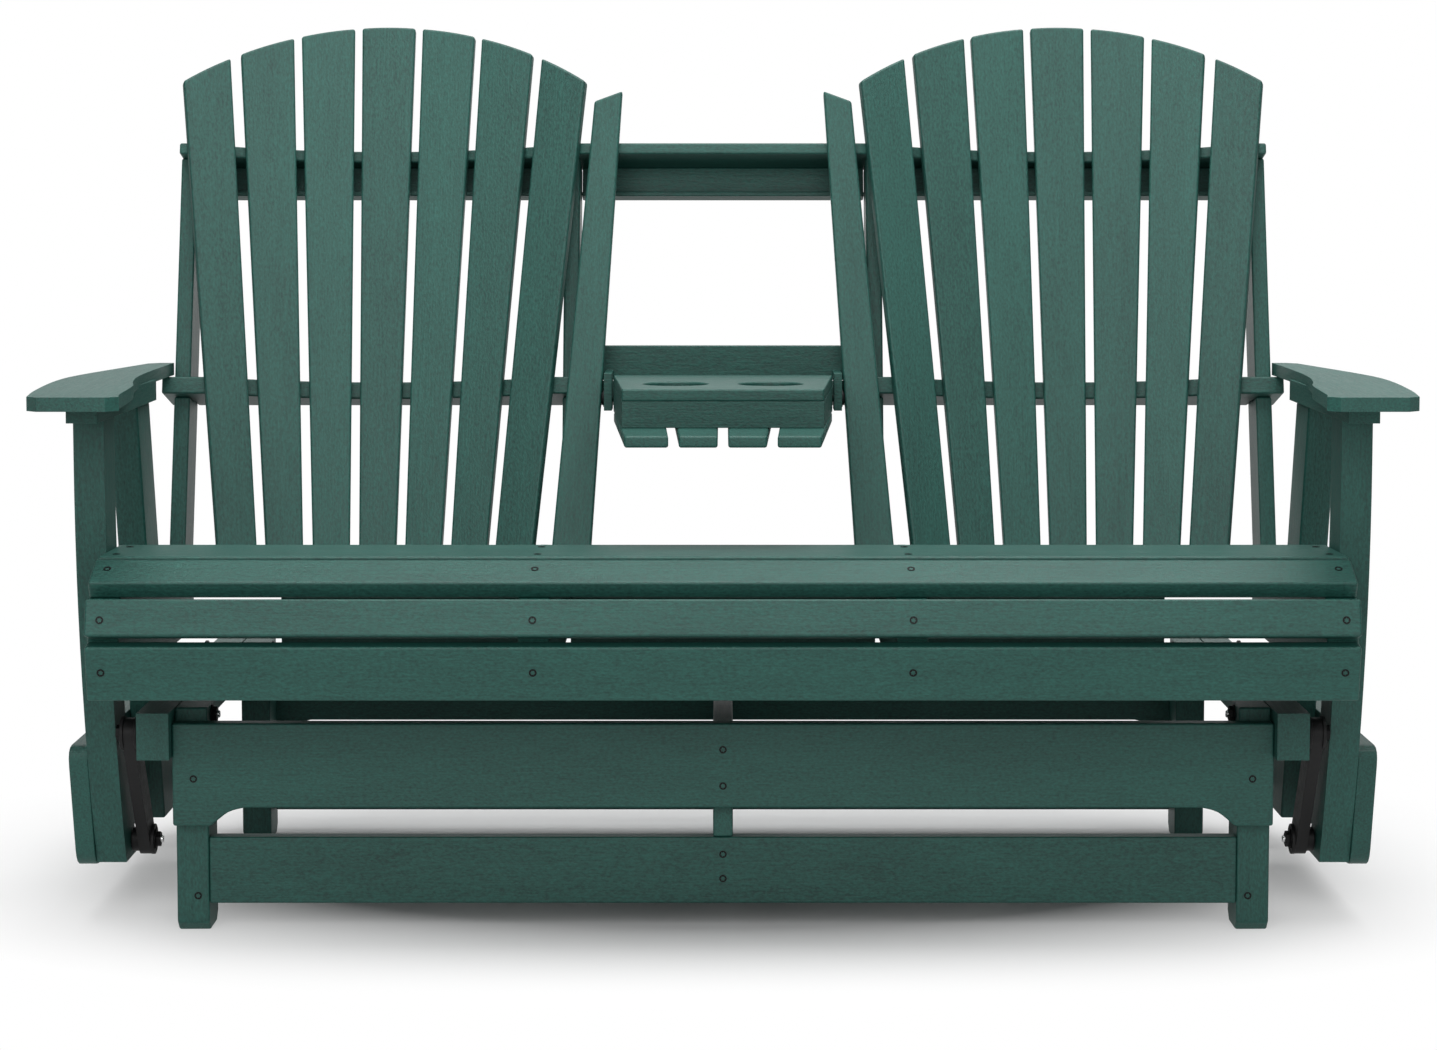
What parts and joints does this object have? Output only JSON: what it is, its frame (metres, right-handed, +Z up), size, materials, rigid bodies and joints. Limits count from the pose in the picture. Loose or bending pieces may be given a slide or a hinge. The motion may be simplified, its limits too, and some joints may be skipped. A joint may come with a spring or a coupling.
{
  "type": "glider swing",
  "caption": "Two-seat outdoor glider swing of plastic lumber: fan-shaped slatted backs, arms, hanging links on a fixed base and a flip-down centre console with cup holes.",
  "frame": {"origin": "centre of the footprint, on the ground under the feet", "axes": "+X to the right as seen from the front, -Y towards the front where the sitter faces, +Z up"},
  "size_m": [1.6904, 0.91, 1.1631],
  "materials": {
    "green_lumber": "embossed fine grain, satin, dark green",
    "black_steel": "black powder coat",
    "fasteners": "black coated screws and washers",
    "bright_steel": "bright bolts and nuts"
  },
  "bodies": {
    "base": {"base_apron_front": "green_lumber", "base_apron_rear": "green_lumber", "base_leg_front_left": "green_lumber", "base_leg_front_right": "green_lumber", "base_leg_rear_left": "green_lumber", "base_leg_rear_right": "green_lumber", "base_lower_rail_front": "green_lumber", "base_lower_rail_rear": "green_lumber", "base_side_rail_left": "green_lumber", "base_side_rail_right": "green_lumber", "base_stretcher": "green_lumber"},
    "link_front_left": {"link_front_left": "black_steel"},
    "link_front_right": {"link_front_right": "black_steel"},
    "link_rear_left": {"link_rear_left": "black_steel"},
    "link_rear_right": {"link_rear_right": "black_steel"},
    "swing": {"arm_left": "green_lumber", "arm_right": "green_lumber", "back_inner_slat_left": "green_lumber", "back_inner_slat_right": "green_lumber", "back_rail_bottom": "green_lumber", "back_rail_middle": "green_lumber", "back_rail_upper": "green_lumber", "back_slat_left_1": "green_lumber", "back_slat_left_2": "green_lumber", "back_slat_left_3": "green_lumber", "back_slat_left_4": "green_lumber", "back_slat_left_5": "green_lumber", "back_slat_left_6": "green_lumber", "back_slat_left_7": "green_lumber", "back_slat_right_1": "green_lumber", "back_slat_right_2": "green_lumber", "back_slat_right_3": "green_lumber", "back_slat_right_4": "green_lumber", "back_slat_right_5": "green_lumber", "back_slat_right_6": "green_lumber", "back_slat_right_7": "green_lumber", "back_upright_inner_left": "green_lumber", "back_upright_inner_right": "green_lumber", "back_upright_outer_left": "green_lumber", "back_upright_outer_right": "green_lumber", "console_bracket": "green_lumber", "lower_side_board_left": "green_lumber", "lower_side_board_right": "green_lumber", "post_front_left": "green_lumber", "post_front_right": "green_lumber", "post_rear_left": "green_lumber", "post_rear_right": "green_lumber", "seat_board_1": "green_lumber", "seat_board_2": "green_lumber", "seat_board_3": "green_lumber", "seat_board_4": "green_lumber", "seat_fascia": "green_lumber", "seat_nose_board": "green_lumber", "seat_support_inner_left": "green_lumber", "seat_support_inner_right": "green_lumber", "seat_support_outer_left": "green_lumber", "seat_support_outer_right": "green_lumber"},
    "console": {"console_table": "green_lumber", "console_frame": "green_lumber", "console_slats": "green_lumber"}
  },
  "joints": [
    {"name": "glide", "type": "hinge", "parent": "base", "child": "link_front_left", "pos_m": [-0.73, -0.224, 0.2565], "axis": [1, 0, 0], "range_deg": [-14, 14]},
    {"name": "carriage_rock", "type": "hinge", "parent": "link_front_left", "child": "swing", "pos_m": [-0.762, -0.1227, 0.10051], "axis": [1, 0, 0], "range_deg": [-21, 21]},
    {"name": "link_front_right_swing", "type": "hinge", "parent": "base", "child": "link_front_right", "pos_m": [0.73, -0.224, 0.2565], "axis": [1, 0, 0], "range_deg": [-15, 15]},
    {"name": "link_rear_left_swing", "type": "hinge", "parent": "base", "child": "link_rear_left", "pos_m": [-0.73, 0.424, 0.2565], "axis": [1, 0, 0], "range_deg": [-15, 15]},
    {"name": "link_rear_right_swing", "type": "hinge", "parent": "base", "child": "link_rear_right", "pos_m": [0.73, 0.424, 0.2565], "axis": [1, 0, 0], "range_deg": [-15, 15]},
    {"name": "console_flip", "type": "hinge", "parent": "swing", "child": "console", "pos_m": [0, 0.19, 0.648], "axis": [-1, 0, 0], "range_deg": [0, 109]}
  ],
  "couplings": [
    {"joint": "carriage_rock", "follows": "glide", "ratio": -1.4549},
    {"joint": "link_front_right_swing", "follows": "glide", "ratio": 1},
    {"joint": "link_rear_left_swing", "follows": "glide", "ratio": 1},
    {"joint": "link_rear_right_swing", "follows": "glide", "ratio": 1}
  ]
}
